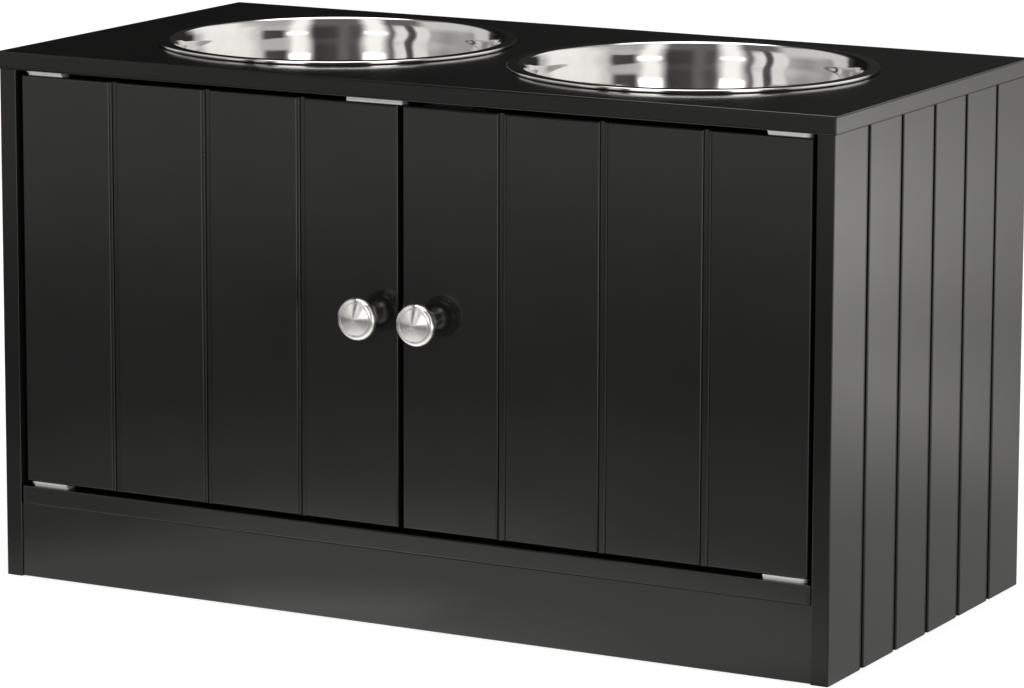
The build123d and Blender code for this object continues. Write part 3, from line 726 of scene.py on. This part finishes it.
def floor_level(azimuth, distance):
    """How bright the floor is at a place."""
    aside = ASIDE * (ease(azimuth, *ASIDE_RIGHT) + ease(-azimuth, *ASIDE_LEFT))
    level = between(distance + aside, FRONT_FLOOR)
    level *= 1 - BEHIND_SHADE * within(abs(azimuth), *BEHIND_AZIMUTHS)
    level *= 1 - LEFT_SHADE * within(azimuth, *LEFT_AZIMUTHS) * ease(distance, *LEFT_START)
    corner = within(azimuth, *CORNER_AZIMUTHS) * within(distance, *CORNER_DISTANCES)
    level += CORNER_LIGHT * corner
    strips = sum(
        within(azimuth, box.left, box.right, box.soft + STRIP_SPREAD)
        for box in SOFTBOXES if box.bottom < 0
    )
    level += (STRIP_LEVEL - level) * strips * ease(distance, *STRIP_START)
    past = between(distance, RIGHT_FLOOR)
    turned = azimuth - BACK_TURN * ease(distance, *BACK_TURN_START)
    past *= 1 - BACK_SHADE * ease(turned, *BACK_START)
    return level + (past - level) * within(azimuth, *RIGHT_FLOOR_AZIMUTHS)


def on_floor(azimuth, distance):
    turn = radians(azimuth)
    return (distance * sin(turn), -distance * cos(turn), -SURROUND_DROP)


def on_dome(azimuth, elevation, reach=SURROUND_REACH):
    turn, rise = radians(azimuth), radians(elevation)
    return (reach * cos(rise) * sin(turn), -reach * cos(rise) * cos(turn), reach * sin(rise))


def surround(name):
    """A studio surround that only reflections see: floor sheet, wall and ceiling in one skin,
    with the light level of each place worked out from its direction."""
    rings = []
    for i in range(1, SURROUND_FLOOR_RINGS + 1):
        distance = SURROUND_REACH * (i / SURROUND_FLOOR_RINGS) ** SURROUND_CROWDING
        rings.append((on_floor, floor_level, distance))
    for i in range(1, SURROUND_ROOM_RINGS + 1):
        rings.append((on_dome, room_level, i * SURROUND_RING_STEP))
    points = [on_floor(0, 0)]
    levels = [floor_level(0, 0)]
    for place_of, level_of, at in rings:
        for i in range(SURROUND_SEGMENTS):
            azimuth = -180 + 360 * i / SURROUND_SEGMENTS
            points.append(place_of(azimuth, at))
            levels.append(level_of(azimuth, at))
    points.append((0, 0, SURROUND_REACH))
    levels.append(room_level(0, 90))

    last = len(points) - 1
    neighbours = [(i, (i + 1) % SURROUND_SEGMENTS) for i in range(SURROUND_SEGMENTS)]
    faces = [(0, 1 + j, 1 + i) for i, j in neighbours]
    for ring in range(len(rings) - 1):
        one = 1 + ring * SURROUND_SEGMENTS
        two = one + SURROUND_SEGMENTS
        faces += [(one + i, one + j, two + j, two + i) for i, j in neighbours]
    top = last - SURROUND_SEGMENTS
    faces += [(last, top + i, top + j) for i, j in neighbours]

    mesh = bpy.data.meshes.new(name)
    mesh.from_pydata(points, [], faces)
    shade = mesh.color_attributes.new("level", "FLOAT_COLOR", "POINT")
    for entry, level in zip(shade.data, levels):
        entry.color = (*(level * part for part in SURROUND_TINT), 1)
    piece = show(name, mesh)
    material = bpy.data.materials.new(name)
    material.use_nodes = True
    material.cycles.emission_sampling = "NONE"
    tree = material.node_tree
    tree.nodes.clear()
    source = tree.nodes.new("ShaderNodeVertexColor")
    source.layer_name = "level"
    own = tree.nodes.new("ShaderNodeEmission")
    tree.links.new(source.outputs["Color"], own.inputs["Color"])
    end = tree.nodes.new("ShaderNodeOutputMaterial")
    tree.links.new(own.outputs[0], end.inputs["Surface"])
    mesh.materials.append(material)
    for ray in ("camera", "diffuse", "shadow", "transmission"):
        setattr(piece, f"visible_{ray}", False)


# ---------------------------------------------------------------- floor, world and lamps

FLOOR_REACH = 9
FLOOR_DROP = 0.0002                 # below the surround's own floor
FLOOR_COLOUR = (0.82, 0.82, 0.82, 1)
FLOOR_SHOWN = 0.64                  # glow that brings it to white where a background shows
WORLD_LIT = 0.45                    # the world's level on the object, and where it shows
WORLD_SHOWN = 1.0
WHITE = (1, 1, 1, 1)

LAMP_TARGET = Vector((0, 0, 0.2))
# name, azimuth, elevation, distance, width, height, radiance
LAMPS = (
    ("softbox_front", 4, 14, 3.1, 1.0, 1.4, 1.9),
    ("softbox_right", 58, 14, 3.1, 0.95, 1.4, 1.9),
    ("softbox_above", 10, 78, 2.4, 2.0, 1.3, 1.5),
    ("softbox_back_right", 148, 14, 3.0, 1.7, 1.2, 2.2),
)


def background_rays(tree):
    """1 for the rays that show a background, directly, in a mirror or through glass, else 0."""
    paths = tree.nodes.new("ShaderNodeLightPath")
    total = paths.outputs["Is Camera Ray"]
    for ray in ("Is Glossy Ray", "Is Transmission Ray"):
        joined = tree.nodes.new("ShaderNodeMath")
        joined.operation = "MAXIMUM"
        tree.links.new(total, joined.inputs[0])
        tree.links.new(paths.outputs[ray], joined.inputs[1])
        total = joined.outputs[0]
    return total


def glow(name, colour, strength):
    """A plain colour that is lit as it stands, with a glow for the rays that show a background."""
    material = bpy.data.materials.new(name)
    material.use_nodes = True
    tree = material.node_tree
    tree.nodes.clear()
    level = tree.nodes.new("ShaderNodeMath")
    level.operation = "MULTIPLY"
    level.inputs[1].default_value = strength
    tree.links.new(background_rays(tree), level.inputs[0])
    lit = tree.nodes.new("ShaderNodeBsdfDiffuse")
    lit.inputs["Color"].default_value = colour
    own = tree.nodes.new("ShaderNodeEmission")
    own.inputs["Color"].default_value = WHITE
    tree.links.new(level.outputs[0], own.inputs["Strength"])
    both = tree.nodes.new("ShaderNodeAddShader")
    tree.links.new(lit.outputs[0], both.inputs[0])
    tree.links.new(own.outputs[0], both.inputs[1])
    end = tree.nodes.new("ShaderNodeOutputMaterial")
    tree.links.new(both.outputs[0], end.inputs["Surface"])
    return material


def lamp(name, azimuth, elevation, distance, width, height, radiance):
    """A soft rectangular lamp aimed at the object. No camera view or reflection shows it."""
    light = bpy.data.lights.new(name, "AREA")
    light.shape = "RECTANGLE"
    light.size = width
    light.size_y = height
    light.energy = radiance * pi * width * height
    piece = show(name, light)
    place = LAMP_TARGET + Vector(on_dome(azimuth, elevation, distance))
    aim = (LAMP_TARGET - place).to_track_quat("-Z", "Y").to_matrix().to_4x4()
    piece.matrix_world = Matrix.Translation(place) @ aim
    piece.visible_camera = False
    piece.visible_glossy = False


floor_mesh = bpy.data.meshes.new("studio_floor")
corner_signs = ((-1, -1), (1, -1), (1, 1), (-1, 1))
floor_corners = [(x * FLOOR_REACH, y * FLOOR_REACH, 0) for x, y in corner_signs]
floor_mesh.from_pydata(floor_corners, [], [(0, 1, 2, 3)])
floor_mesh.materials.append(glow("studio_white", FLOOR_COLOUR, FLOOR_SHOWN))
studio_floor = show("studio_floor", floor_mesh)
studio_floor.location.z = -FLOOR_DROP

world = bpy.data.worlds.new("studio_world")
world.use_nodes = True
bpy.context.scene.world = world
tree = world.node_tree
level = tree.nodes.new("ShaderNodeMapRange")
level.inputs["To Min"].default_value = WORLD_LIT
level.inputs["To Max"].default_value = WORLD_SHOWN
tree.links.new(background_rays(tree), level.inputs["Value"])
tree.links.new(level.outputs[0], tree.nodes["Background"].inputs["Strength"])
tree.nodes["Background"].inputs["Color"].default_value = WHITE

surround("studio_surround")
for settings in LAMPS:
    lamp(*settings)

# ---------------------------------------------------------------- camera

# Fitted to the corners of the cabinet in the photograph
CAMERA_PLACE = (1.4843, -2.7411, 0.7687)
CAMERA_TURN = 28.34
CAMERA_DROP = 9.94
CAMERA_ROLL = 0.141
CAMERA_SHIFT = -0.0918

view = bpy.data.cameras.new("view")
view.sensor_width = 36
view.lens = 170.67
view.shift_y = CAMERA_SHIFT
view.clip_start = 0.05
view.clip_end = 60
camera = show("view", view)
camera.matrix_world = (
    Matrix.Translation(CAMERA_PLACE)
    @ Matrix.Rotation(radians(CAMERA_TURN), 4, "Z")
    @ Matrix.Rotation(radians(90 - CAMERA_DROP), 4, "X")
    @ Matrix.Rotation(radians(CAMERA_ROLL), 4, "Z")
)
bpy.context.scene.camera = camera
bpy.context.scene.view_settings.view_transform = "Standard"
